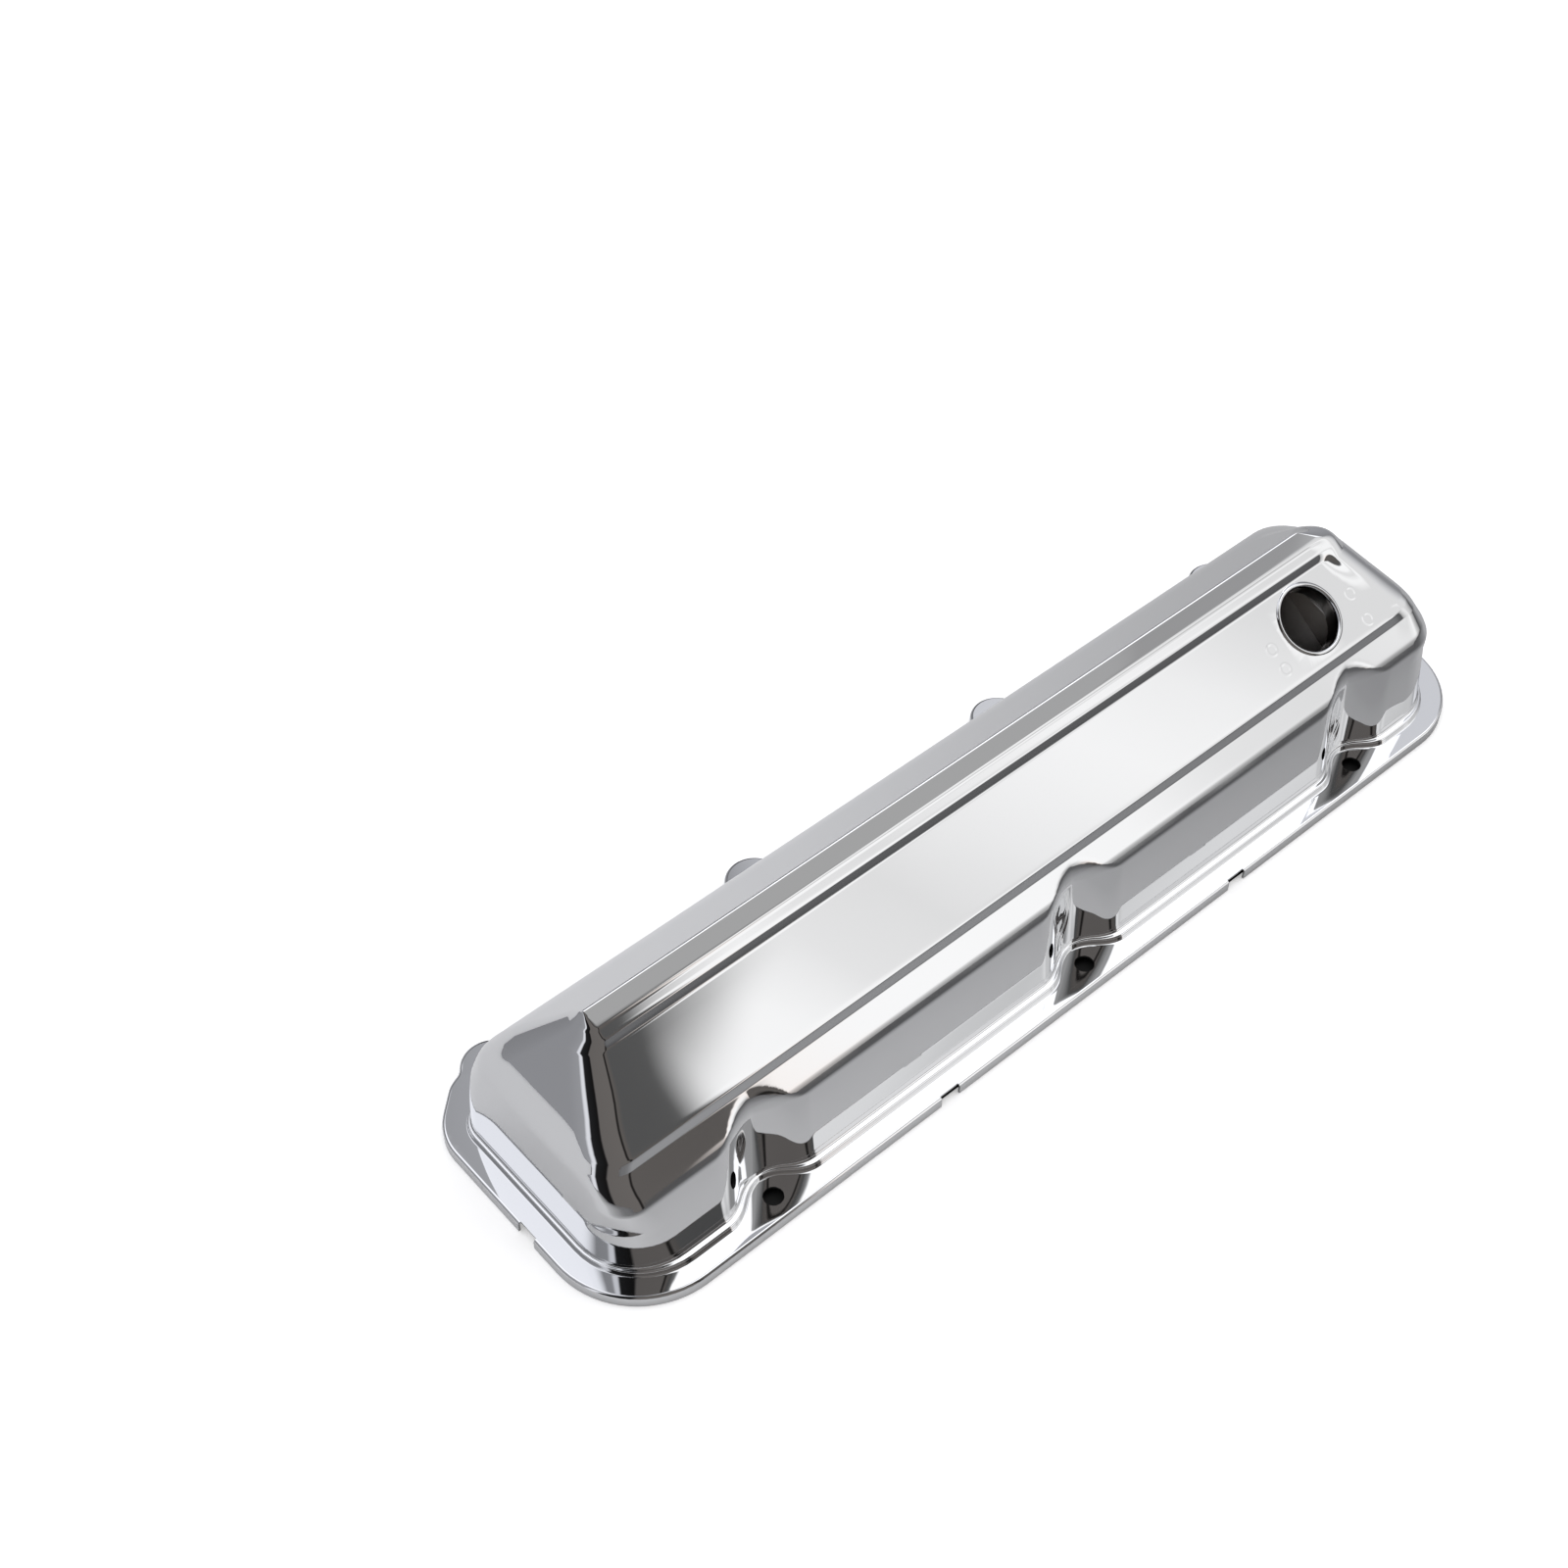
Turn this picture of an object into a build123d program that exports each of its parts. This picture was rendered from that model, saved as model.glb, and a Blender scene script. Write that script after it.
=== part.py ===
from build123d import *
import math
import os

os.makedirs("parts", exist_ok=True)

# Frame: +Z up, X along the cover, the straight bolt side faces -Y.
# Z = 0 is the free edge of the lip, X = 0 and Y = 0 the middle of the whole outline.

# Sheet and overall sizes
sheet = 1.0
flange_top = 5.7
bead_top = 8.0
length = 512.3
left_edge = -length / 2
right_edge = length / 2
depth = 150.2
front = -depth / 2
flange_depth = 142.3

# Flange outline, y counted from the front edge
front_corner_r = 41.5
side_corner_y = 119.5
side_corner_r = 26.0
shoulder_in = 18.0
shoulder_y = 136.4
shoulder_r = 15.0
ear_r = 13.2
ear_blend_r = 8.0
edge_bend = 0.7

# Bolt holes
bolt_hole_r = 4.35
front_row_x = 1.3
front_row_spacing = 174.3
front_row_y = 10.3
inner_pair_x = 74.6
inner_pair_y = 137.0
outer_pair_x = right_edge - 36.65
outer_pair_y = 133.0
front_row = [front_row_x + n * front_row_spacing for n in (-1, 0, 1)]

# Bead, the small step between the flange and the body
bead_left = left_edge + 9.45
bead_right = right_edge - 11.45
bead_front = 8.9
bead_back = 131.1
bead_corner_r = 33.0
bead_corner_back_r = 15.0
bead_bend = 0.8
ear_dent_y = 122.3
ear_dent_x = outer_pair_x + 2.5
ear_dent_end_x = outer_pair_x - 9.5
mid_dent_y = 126.9
mid_dent_half = 15.0
mid_dent_top_half = 6.0
dent_r = 10.0
pocket_mouth_half = 17.8
pocket_top_half = 4.2
pocket_y = 19.1
pocket_mouth_r = 14.0
pocket_top_r = 11.0

# Body walls at their root, and their lean from upright in degrees
body_top = 99.0
body_lean = 6.5
body_left = left_edge + 10.7
body_right = right_edge - 13.4
body_front = 12.7
body_corner_r = 29.0
body_ear_y = 120.8
body_back = 129.6
well_mouth_half = 17.8
well_top_half = 5.0
well_y = 20.2
well_mouth_r = 13.0
well_top_r = 10.0

# Cross-section of the body as (y from the front edge, z, bend radius), back wall first
section = [
    (133.2, -20.0, 0.0),
    (114.7, 57.35, 76.0),
    (73.3, 97.0, 3.5),
    (67.6, 92.1, 6.0),
    (62.9, 88.9, 2.0),
    (61.05, 85.1, 1.5),
    (28.8, 63.6, 2.0),
    (27.3, 59.3, 2.0),
    (0.0, 23.9, 0.0),
    (0.0, -20.0, 0.0),
]

# Slope of the two ends as (distance from the flange edge, z, bend radius)
right_slope = [
    (-24.0, -20.0, 0.0),
    (-24.0, 20.0, 0.0),
    (10.15, 28.0, 0.0),
    (16.95, 45.0, 30.0),
    (26.85, 61.5, 40.0),
    (48.85, 89.0, 60.0),
    (66.15, 107.0, 0.0),
]
left_slope = [
    (-24.0, -20.0, 0.0),
    (-24.0, 20.0, 0.0),
    (7.15, 24.0, 0.0),
    (13.55, 54.0, 25.0),
    (19.55, 68.0, 25.0),
    (41.95, 92.0, 60.0),
    (56.15, 107.0, 0.0),
]
end_profile = [(right_edge - reach, z, radius) for reach, z, radius in right_slope]
end_profile += [(left_edge + reach, z, radius) for reach, z, radius in reversed(left_slope)]

# Filler hole on the main face
filler_x = 170.6
filler_y = 46.1
filler_throat_r = 14.75
filler_bend_r = 1.75
filler_collar = 8.0

# Notches in the lip
notch_length = 10.0
notch_reach = 1.3
notch_front_x = 86.5
notch_back_x = 135.5
notch_side_y = 61.0

# Baffle below the filler hole
baffle_sheet = 1.0
weld_gap = 0.1
baffle_drop = 34.0
baffle_left = filler_x - 19.6
baffle_inner = filler_x + 18.9
baffle_right = right_edge - 18.15
baffle_front = 21.0
baffle_back = 95.3
baffle_flange_end = 111.0
tab_reach = 13.0
tab_from = 31.0
tab_to = 50.0
strip_low = 40.0

# Cross channel from the third well to the back wall
channel_width = 14.8
channel_z = 8.0
channel_height = 12.0
channel_sheet = 1.2
channel_pad = 14.5
channel_start = 22.0
channel_end = 125.4
channel_x = front_row_x + front_row_spacing - 0.8


def inset(points, gap):
    """Moves every edge of a closed counter-clockwise outline inwards."""
    count = len(points)
    lines = []
    for i in range(count):
        ax, ay = points[i][0], points[i][1]
        bx, by = points[(i + 1) % count][0], points[(i + 1) % count][1]
        run = math.hypot(bx - ax, by - ay)
        ux, uy = (bx - ax) / run, (by - ay) / run
        lines.append((ax - uy * gap, ay + ux * gap, ux, uy))
    moved = []
    for i in range(count):
        px, py, pu, pv = lines[i - 1]
        qx, qy, qu, qv = lines[i]
        turn = pu * qv - pv * qu
        along = ((qx - px) * qv - (qy - py) * qu) / turn
        radius = points[i][2]
        if radius > 0:
            radius = radius - gap if turn > 0 else radius + gap
        moved.append((px + along * pu, py + along * pv, max(radius, 0.3) if radius else 0.0))
    return moved


def draw_outline(points):
    """Draws a closed outline with the bend radius given for each corner."""
    count = len(points)
    stops = []
    for i in range(count):
        x, y, radius = points[i]
        ax, ay = points[i - 1][0] - x, points[i - 1][1] - y
        bx, by = points[(i + 1) % count][0] - x, points[(i + 1) % count][1] - y
        la, lb = math.hypot(ax, ay), math.hypot(bx, by)
        ax, ay, bx, by = ax / la, ay / la, bx / lb, by / lb
        if radius == 0.0:
            stops.append(((x, y), None, (x, y)))
            continue
        half = math.acos(max(-1.0, min(1.0, ax * bx + ay * by))) / 2
        reach = radius / math.tan(half)
        mx, my = ax + bx, ay + by
        lm = math.hypot(mx, my)
        sag = radius / math.sin(half) - radius
        middle = (x + mx / lm * sag, y + my / lm * sag)
        stops.append(((x + ax * reach, y + ay * reach), middle, (x + bx * reach, y + by * reach)))
    for i in range(count):
        start, middle, end = stops[i]
        if middle:
            ThreePointArc(start, middle, end)
        Line(end, stops[(i + 1) % count][0])


def plan_plane(z):
    """Plan drawing plane with y counted from the front edge."""
    return Plane(origin=(0, front, z))


section_plane = Plane(origin=(0, front, 0), x_dir=(0, 1, 0), z_dir=(1, 0, 0))


def outline_face(points, plane):
    """Flat face of a closed outline on a plane."""
    with BuildSketch(plane) as flat:
        with BuildLine():
            draw_outline(points)
        make_face()
    return flat.sketch


def flange_outline():
    """Straight sides and corners of the flange, without the ears."""
    return [
        (left_edge, 0.0, front_corner_r),
        (right_edge, 0.0, front_corner_r),
        (right_edge, side_corner_y, side_corner_r),
        (right_edge - shoulder_in, shoulder_y, shoulder_r),
        (outer_pair_x, flange_depth, 0.0),
        (-outer_pair_x, flange_depth, 0.0),
        (left_edge + shoulder_in, shoulder_y, shoulder_r),
        (left_edge, side_corner_y, side_corner_r),
    ]


ear_centres = [
    (-outer_pair_x, outer_pair_y),
    (-inner_pair_x, inner_pair_y),
    (inner_pair_x, inner_pair_y),
    (outer_pair_x, outer_pair_y),
]


def flange_face(gap, z):
    """Flange face with its four ears, inset by the gap."""
    with BuildSketch(plan_plane(z)) as flat:
        with BuildLine():
            draw_outline(inset(flange_outline(), gap))
        make_face()
        with Locations(*ear_centres):
            Circle(ear_r - gap)
        corners = []
        for corner in flat.vertices():
            for x, y in ear_centres:
                reach = math.hypot(corner.X - x, corner.Y - y)
                if abs(reach - (ear_r - gap)) < 0.01:
                    corners.append(corner)
        fillet(corners, ear_blend_r + gap)
    return flat.sketch


def bead_outline():
    """Foot of the bead on the flange, with the wells and the dents."""
    points = [(bead_left, bead_front, bead_corner_r)]
    for x in front_row:
        points.append((x - pocket_mouth_half, bead_front, pocket_mouth_r))
        points.append((x - pocket_top_half, pocket_y, pocket_top_r))
        points.append((x + pocket_top_half, pocket_y, pocket_top_r))
        points.append((x + pocket_mouth_half, bead_front, pocket_mouth_r))
    points.append((bead_right, bead_front, bead_corner_r))
    points.append((bead_right, ear_dent_y, bead_corner_back_r))
    points.append((ear_dent_x - 4.5, ear_dent_y, dent_r))
    points.append((ear_dent_end_x - 5.5, bead_back, dent_r))
    for x in (inner_pair_x, -inner_pair_x):
        points.append((x + mid_dent_half, bead_back, dent_r))
        points.append((x + mid_dent_top_half, mid_dent_y, dent_r))
        points.append((x - mid_dent_top_half, mid_dent_y, dent_r))
        points.append((x - mid_dent_half, bead_back, dent_r))
    points.append((-ear_dent_end_x, bead_back, dent_r))
    points.append((-ear_dent_x, ear_dent_y, dent_r))
    points.append((bead_left, ear_dent_y, bead_corner_back_r))
    return points


def body_outline():
    """Plan of the body walls at their root."""
    points = [(body_left, body_front, body_corner_r)]
    for x in front_row:
        points.append((x - well_mouth_half, body_front, well_mouth_r))
        points.append((x - well_top_half, well_y, well_top_r))
        points.append((x + well_top_half, well_y, well_top_r))
        points.append((x + well_mouth_half, body_front, well_mouth_r))
    points.append((body_right, body_front, body_corner_r))
    points.append((body_right, body_ear_y, bead_corner_back_r - 2.0))
    points.append((ear_dent_x - 3.0, body_ear_y, dent_r))
    points.append((ear_dent_end_x - 4.0, body_back, dent_r))
    points.append((-ear_dent_end_x + 1.5, body_back, dent_r))
    points.append((-ear_dent_x - 1.0, body_ear_y, dent_r))
    points.append((body_left, body_ear_y, bead_corner_back_r - 2.0))
    return points


def body_solid(gap):
    """Body inset by the gap: cross-section, end slopes and walls in one solid."""
    with BuildPart() as body:
        extrude(outline_face(inset(section, gap), section_plane), amount=280, both=True)
        ends = outline_face(inset(end_profile, gap), Plane.XZ)
        extrude(ends, amount=200, both=True, mode=Mode.INTERSECT)
        foot = bead_top - bead_bend - gap
        root = outline_face(inset(body_outline(), gap), plan_plane(foot))
        extrude(root, amount=body_top - foot, taper=body_lean, mode=Mode.INTERSECT)
    return body.part


def pan_solid(gap):
    """Flange plate and lip, inset by the gap; the outside has the bend of its edge."""
    with BuildPart() as pan:
        extrude(flange_face(gap, 0.0), amount=flange_top - gap)
        if gap == 0.0:
            chamfer(pan.faces().sort_by(Axis.Z)[-1].edges(), edge_bend)
    return pan.part


def bead_solid(gap):
    """Bead between flange and body, inset by the gap."""
    foot = flange_top - gap - 0.5
    with BuildPart() as bead:
        extrude(outline_face(inset(bead_outline(), gap), plan_plane(foot)), amount=bead_top - gap - foot)
        if gap == 0.0:
            chamfer(bead.faces().sort_by(Axis.Z)[-1].edges(), bead_bend)
    return bead.part


roof_slope = (section[5][1] - section[6][1]) / (section[5][0] - section[6][0])
filler_z = section[6][1] + (filler_y - section[6][0]) * roof_slope
filler_plane = Plane(
    origin=(filler_x, front + filler_y, filler_z),
    x_dir=(1, 0, 0),
    z_dir=(0, -roof_slope, 1),
)
collar_plane = Plane(origin=filler_plane.origin, x_dir=(1, 0, 0), z_dir=-filler_plane.y_dir)
collar_outer_r = filler_throat_r + filler_bend_r


def collar_bend(radius):
    """Profile of the collar in three flats, from the roof down its throat."""
    points = []
    for step in range(4):
        turn = math.radians(30 * step)
        points.append((collar_outer_r - radius * math.sin(turn), radius * math.cos(turn) - filler_bend_r))
    points.append((collar_outer_r - radius, -filler_collar))
    return points


outer_body = body_solid(0.0)
inner_body = body_solid(sheet)
outer_pan = pan_solid(0.0)
inner_pan = pan_solid(sheet)
outer_bead = bead_solid(0.0)
inner_bead = bead_solid(sheet)

# The cover is one pressing: flange, lip, bead, wells, roof and filler collar.
with BuildPart() as cover_shell:
    add(outer_pan)
    add(outer_bead)
    add(outer_body)
    add(inner_pan, mode=Mode.SUBTRACT)
    add(inner_bead, mode=Mode.SUBTRACT)
    add(inner_body, mode=Mode.SUBTRACT)

    # Turned-in collar of the filler hole
    with BuildSketch(filler_plane) as opening:
        Circle(collar_outer_r - 0.2)
    extrude(amount=4.0, both=True, mode=Mode.SUBTRACT)
    with BuildSketch(collar_plane) as collar:
        with BuildLine():
            Polyline(*collar_bend(filler_bend_r), *reversed(collar_bend(filler_bend_r - sheet)), close=True)
        make_face()
    revolve(axis=Axis(filler_plane.origin, filler_plane.z_dir))

    # Bolt holes
    with BuildSketch(plan_plane(0.0)) as bolts:
        with Locations(*[(x, front_row_y) for x in front_row], *ear_centres):
            Circle(bolt_hole_r)
    extrude(amount=flange_top + 1.0, mode=Mode.SUBTRACT)

    # Notches through the lip
    with BuildSketch(plan_plane(-1.0)) as notches:
        with Locations((-notch_front_x, 0), (notch_front_x, 0)):
            Rectangle(notch_length, 2 * notch_reach)
        with Locations((-notch_back_x, flange_depth), (0, flange_depth), (notch_back_x, flange_depth)):
            Rectangle(notch_length, 2 * notch_reach)
        with Locations((left_edge, notch_side_y), (right_edge, notch_side_y)):
            Rectangle(2 * notch_reach, notch_length)
    extrude(amount=flange_top + 2.0, mode=Mode.SUBTRACT)

cover_shell.part.label = "cover_shell"
export_step(cover_shell.part, "parts/cover_shell.step")

cavity = body_solid(sheet + weld_gap)
with BuildPart() as roof_band:
    extrude(outline_face(inset(section, sheet + weld_gap), section_plane), amount=280, both=True)
    below_band = outline_face(inset(section, sheet + weld_gap + baffle_sheet), section_plane)
    extrude(below_band, amount=290, both=True, mode=Mode.SUBTRACT)
floor_front_z = filler_z - baffle_drop + (baffle_front - filler_y) * roof_slope
floor_back_z = floor_front_z + (baffle_back - baffle_front) * roof_slope
floor_step = baffle_sheet * math.hypot(1.0, roof_slope)


def baffle_plane(x):
    """Cross-section drawing plane at a place along the cover."""
    return Plane(origin=(x, front, 0), x_dir=(0, 1, 0), z_dir=(1, 0, 0))


def strip_under_roof(x0, x1, y0, y1):
    """Strip of baffle sheet that lies against the inside of the roof."""
    with BuildPart() as strip:
        with BuildSketch(baffle_plane(x0)):
            with BuildLine():
                Polyline((y0, strip_low), (y1, strip_low), (y1, body_top), (y0, body_top), close=True)
            make_face()
        extrude(amount=x1 - x0)
        add(roof_band.part, mode=Mode.INTERSECT)
    return strip.part


def baffle_wall(x):
    """Wall of baffle sheet from the baffle floor up to the roof."""
    with BuildPart() as wall:
        with BuildSketch(baffle_plane(x)):
            with BuildLine():
                Polyline(
                    (baffle_front, floor_front_z),
                    (baffle_back, floor_back_z),
                    (baffle_back, body_top),
                    (baffle_front, body_top),
                    close=True,
                )
            make_face()
        extrude(amount=baffle_sheet)
    return wall.part


baffle_pieces = [
    strip_under_roof(baffle_left - tab_reach, baffle_left + 0.5, tab_from, tab_to),
    strip_under_roof(baffle_inner + 0.5, baffle_inner + tab_reach, tab_from, tab_to),
    strip_under_roof(baffle_left, baffle_right, baffle_back - 2.0, baffle_flange_end),
    baffle_wall(baffle_left),
    baffle_wall(baffle_inner),
]

# The baffle is one folded sheet: floor, two walls, two tabs and a back flange.
with BuildPart() as oil_baffle:
    with BuildSketch(baffle_plane(baffle_left)) as floor:
        with BuildLine():
            Polyline(
                (baffle_front, floor_front_z),
                (baffle_back, floor_back_z),
                (baffle_back, floor_back_z + floor_step),
                (baffle_front, floor_front_z + floor_step),
                close=True,
            )
        make_face()
    extrude(amount=baffle_right - baffle_left)
    add(baffle_pieces)
    add(cavity, mode=Mode.INTERSECT)
oil_baffle.part.label = "oil_baffle"
export_step(oil_baffle.part, "parts/oil_baffle.step")

# Channel across the open side, with a closed pad at each end
with BuildPart() as cross_channel:
    with BuildSketch(plan_plane(channel_z)) as block:
        with Locations((channel_x, (channel_start + channel_end) / 2)):
            Rectangle(channel_width, channel_end - channel_start + 40.0)
    extrude(amount=channel_height)
    with BuildSketch(plan_plane(channel_z + channel_sheet)) as inside:
        with Locations((channel_x, (channel_start + channel_end) / 2)):
            Rectangle(channel_width - 2 * channel_sheet, channel_end - channel_start + 60.0)
    extrude(amount=channel_height - 2 * channel_sheet, mode=Mode.SUBTRACT)
    with BuildSketch(plan_plane(channel_z)) as window:
        with Locations((channel_x, (channel_start + channel_end) / 2)):
            Rectangle(channel_width - 2 * channel_sheet, channel_end - channel_start - 2 * channel_pad)
    extrude(amount=channel_sheet, mode=Mode.SUBTRACT)
    add(cavity, mode=Mode.INTERSECT)
cross_channel.part.label = "cross_channel"
export_step(cross_channel.part, "parts/cross_channel.step")
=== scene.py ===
import math

import bpy
import numpy as np
from mathutils import Matrix, Vector
from mathutils.geometry import delaunay_2d_cdt


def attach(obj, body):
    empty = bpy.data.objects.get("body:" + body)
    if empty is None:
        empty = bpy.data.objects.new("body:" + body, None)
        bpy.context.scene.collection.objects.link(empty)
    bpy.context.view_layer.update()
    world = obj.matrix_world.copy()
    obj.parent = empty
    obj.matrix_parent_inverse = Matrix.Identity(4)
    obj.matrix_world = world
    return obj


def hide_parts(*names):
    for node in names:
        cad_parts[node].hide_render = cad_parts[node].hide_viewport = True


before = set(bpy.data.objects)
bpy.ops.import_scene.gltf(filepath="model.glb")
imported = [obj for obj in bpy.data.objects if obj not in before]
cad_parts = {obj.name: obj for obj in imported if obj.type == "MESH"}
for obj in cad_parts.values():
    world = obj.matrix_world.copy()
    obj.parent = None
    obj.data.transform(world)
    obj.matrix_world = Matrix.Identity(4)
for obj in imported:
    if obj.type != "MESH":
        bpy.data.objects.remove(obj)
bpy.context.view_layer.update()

# Sizes in millimetres, as in the CAD source: x from the middle, y from the edge of the straight
# side, which lies at FRONT in the frame, and z from the bottom of the lip
SHEET = 1.0
FRONT = -75.1
LEFT, RIGHT = -256.15, 256.15
FLANGE_TOP, BEAD_TOP, WALL_HEIGHT = 5.7, 8.0, 38.0
FLANGE_DEPTH = 142.3
ROW_Y, ROW_MIDDLE, ROW_PITCH = 10.3, 1.3, 174.3
ROW = [ROW_MIDDLE - ROW_PITCH, ROW_MIDDLE, ROW_MIDDLE + ROW_PITCH]
INNER_EAR_X, OUTER_EAR_X = 74.6, 219.5
EARS = [(-OUTER_EAR_X, 133.0), (-INNER_EAR_X, 137.0), (INNER_EAR_X, 137.0), (OUTER_EAR_X, 133.0)]
EAR_R, EAR_BLEND, HOLE_R = 13.2, 8.0, 4.35
FILLER_X, FILLER_Y = 170.6, 46.1
THROAT_R, THROAT_DEPTH = 14.75, 8.0
# Lip of the filler hole: radius against height above the roof
RIM = [
    (17.3, 0.0),
    (17.0, 0.12),
    (16.7, 0.38),
    (16.3, 0.6),
    (15.9, 0.64),
    (15.5, 0.5),
    (15.15, 0.2),
    (14.9, -0.3),
    (14.78, -0.9),
    (THROAT_R, -1.6),
]
NOTCHES = {"front": (-86.5, 86.5), "back": (-135.5, 0.0, 135.5), "side": 61.0}
NOTCH_HALF = 5.0


def rounded(points, step):
    """Points along an open line with a bend radius at each corner, a step in degrees apart."""
    out = []
    n = len(points)
    for i, (x, y, r) in enumerate(points):
        if i in (0, n - 1) or r <= 0:
            out.append((x, y))
            continue
        a = np.array(points[i - 1][:2]) - (x, y)
        b = np.array(points[i + 1][:2]) - (x, y)
        a /= np.linalg.norm(a)
        b /= np.linalg.norm(b)
        half = math.acos(float(np.clip(a @ b, -1, 1))) / 2
        reach = r / math.tan(half)
        middle = (a + b) / np.linalg.norm(a + b)
        centre = np.array((x, y)) + middle * (r / math.sin(half))
        p, q = np.array((x, y)) + a * reach, np.array((x, y)) + b * reach
        turn = math.pi - 2 * half
        k = max(2, int(math.ceil(math.degrees(turn) / step)))
        u, v = p - centre, q - centre
        for j in range(k + 1):
            t = j / k
            w = (math.sin((1 - t) * turn) * u + math.sin(t * turn) * v) / math.sin(turn)
            out.append(tuple(centre + w))
    return out


def smax(a, b, k):
    """Larger of two values, blended over a span k."""
    h = np.clip(0.5 + 0.5 * (a - b) / k, 0, 1)
    return b + (a - b) * h + k * h * (1 - h)


def smin(a, b, k):
    return -smax(-a, -b, k)


def smooth(t):
    """Smooth step from 0 to 1, for t from 0 to 1."""
    return t * t * (3 - 2 * t)


# Cross-section of the body: y from the front edge against height, with the radius of each bend
FRONT_LINE = [
    (12.0, 4.0, 0.0),
    (17.2, 46.2, 5.0),
    (20.3, 51.3, 16.0),
    (27.3, 59.3, 2.2),
    (28.8, 63.6, 2.2),
    (61.05, 85.1, 1.6),
    (62.9, 88.9, 2.0),
    (66.4, 91.3, 0.6),
    (66.9, 92.3, 0.6),
    (74.51, 95.84, 0.5),
    (90.0, 81.0, 0.0),
]
# Lower and upper edge of the main face, between the two ribs
MAIN_LOW, MAIN_HIGH = FRONT_LINE[4][:2], FRONT_LINE[5][:2]
# The same front where the two ribs have faded out, close to the filler end
PLAIN_LINE = [
    (12.0, 4.0, 0.0),
    (17.2, 46.2, 5.0),
    (20.3, 51.3, 16.0),
    (32.5, 66.1, 9.0),
    (45.0, 74.4, 60.0),
    (66.9, 92.3, 8.0),
    (74.51, 95.84, 0.5),
    (90.0, 81.0, 0.0),
]
# The back wall and the slope behind the ridge
BACK_LINE = [
    (127.46, 4.0, 0.0),
    (114.7, 57.35, 76.0),
    (74.51, 95.84, 0.5),
    (66.9, 92.3, 0.0),
]
# The two ends: x against height
RIGHT_LINE = [
    (242.8, 4.0, 0.0),
    (239.6, 44.0, 26.0),
    (230.2, 61.5, 40.0),
    (207.3, 91.0, 10.0),
    (186.0, 96.6, 0.0),
]
LEFT_LINE = [
    (-245.1, 4.0, 0.0),
    (-242.1, 56.0, 22.0),
    (-236.3, 68.5, 26.0),
    (-214.2, 92.0, 60.0),
    (-206.0, 101.0, 0.0),
]


def table_of(line, step):
    """Height table of a rounded line up to its highest point."""
    pts = rounded(line, step=step)
    y, z = np.array(pts).T
    top = int(np.argmax(z))
    return y[: top + 1], z[: top + 1]


# The heights in these tables are also levels of the rings
front_y, front_z = table_of(FRONT_LINE, 6.0)
back_z = table_of(BACK_LINE, 4.0)[1]
right_x, right_z = table_of(RIGHT_LINE, 4.0)
left_x, left_z = table_of(LEFT_LINE, 4.0)
Y_TOP, Z_TOP = float(front_y[-1]), float(front_z[-1])
# Finer tables for the places of the front and the back
fine_front_y, fine_front_z = table_of(FRONT_LINE, 1.5)
fine_back_y, fine_back_z = table_of(BACK_LINE, 1.5)
fine_plain_y, fine_plain_z = table_of(PLAIN_LINE, 1.5)


def y_front(z):
    return np.interp(z, fine_front_z, fine_front_y)


def y_back(z):
    return np.interp(z, fine_back_z, fine_back_y)


def x_right(z):
    return np.interp(z, right_z, right_x)


def x_left(z):
    return np.interp(z, left_z, left_x)


def bump(x, centre, mouth, top, depth, blend):
    """Rise of a well or dent beside a straight side, as a rounded trapezoid of two half widths."""
    slope = depth / (mouth - top)
    rise = slope * (mouth - np.abs(x - centre))
    return smax(smin(rise, np.full_like(rise, depth), blend), np.zeros_like(rise), blend)


def well_rise(x, z):
    """Depth of the three bolt wells behind the front wall line of the body."""
    lean = (z - BEAD_TOP) / WALL_HEIGHT
    mouth, top, depth = 17.6 - 1.0 * lean, 6.4 - 0.8 * lean, 8.3 - 2.7 * lean
    total = np.zeros_like(x)
    for c in ROW:
        total = np.maximum(total, bump(x, c + 0.4, mouth, top, depth, 4.2))
    return total


def body_front(x, z):
    """Front of the body at a height: the wall with its wells, and the roof above them."""
    wall = 12.5 + 4.7 * (z - BEAD_TOP) / WALL_HEIGHT
    # The ribs fade over 12 mm, from 9 mm before the corner of the filler end
    fade_start = float(x_right(z)) - corner_radii(z)[1] - 9.0
    faded = smooth(np.clip((x - fade_start) / 12.0, 0, 1))
    y = y_front(z) + (np.interp(z, fine_plain_z, fine_plain_y) - y_front(z)) * faded
    rise = well_rise(x, z)
    span = 0.01 + 4.5 * smooth(np.clip(rise / 5.0, 0, 1))
    return smax(y, wall + rise, span)


def body_back(x, z):
    """Back of the body at a height, drawn in beside the outer ears."""
    limit = 130.5 - 9.7 * smooth(np.clip((np.abs(x) - 207.0) / 14.0, 0, 1))
    return smin(np.full_like(x, y_back(z)), limit, 3.0)


def bead_front(x):
    """Front foot of the bead, which goes around the three wells."""
    y = np.full_like(x, 8.9)
    for c in ROW:
        y = y + bump(x, c + 0.5, 17.8, 4.2, 10.4, 4.0)
    return y


def bead_back(x):
    """Back foot of the bead, drawn in beside the four ears."""
    y = 131.1 - 8.8 * smooth(np.clip((np.abs(x) - 203.5) / 19.0, 0, 1))
    return y - bump(np.abs(x), INNER_EAR_X, 15.0, 6.0, 4.2, 2.4)


def spread(stops):
    """Column places from (start, end, count) runs."""
    out = []
    for a, b, n in stops:
        out.extend(np.linspace(a, b, n, endpoint=False).tolist())
    out.append(stops[-1][1])
    return np.array(out)


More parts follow.
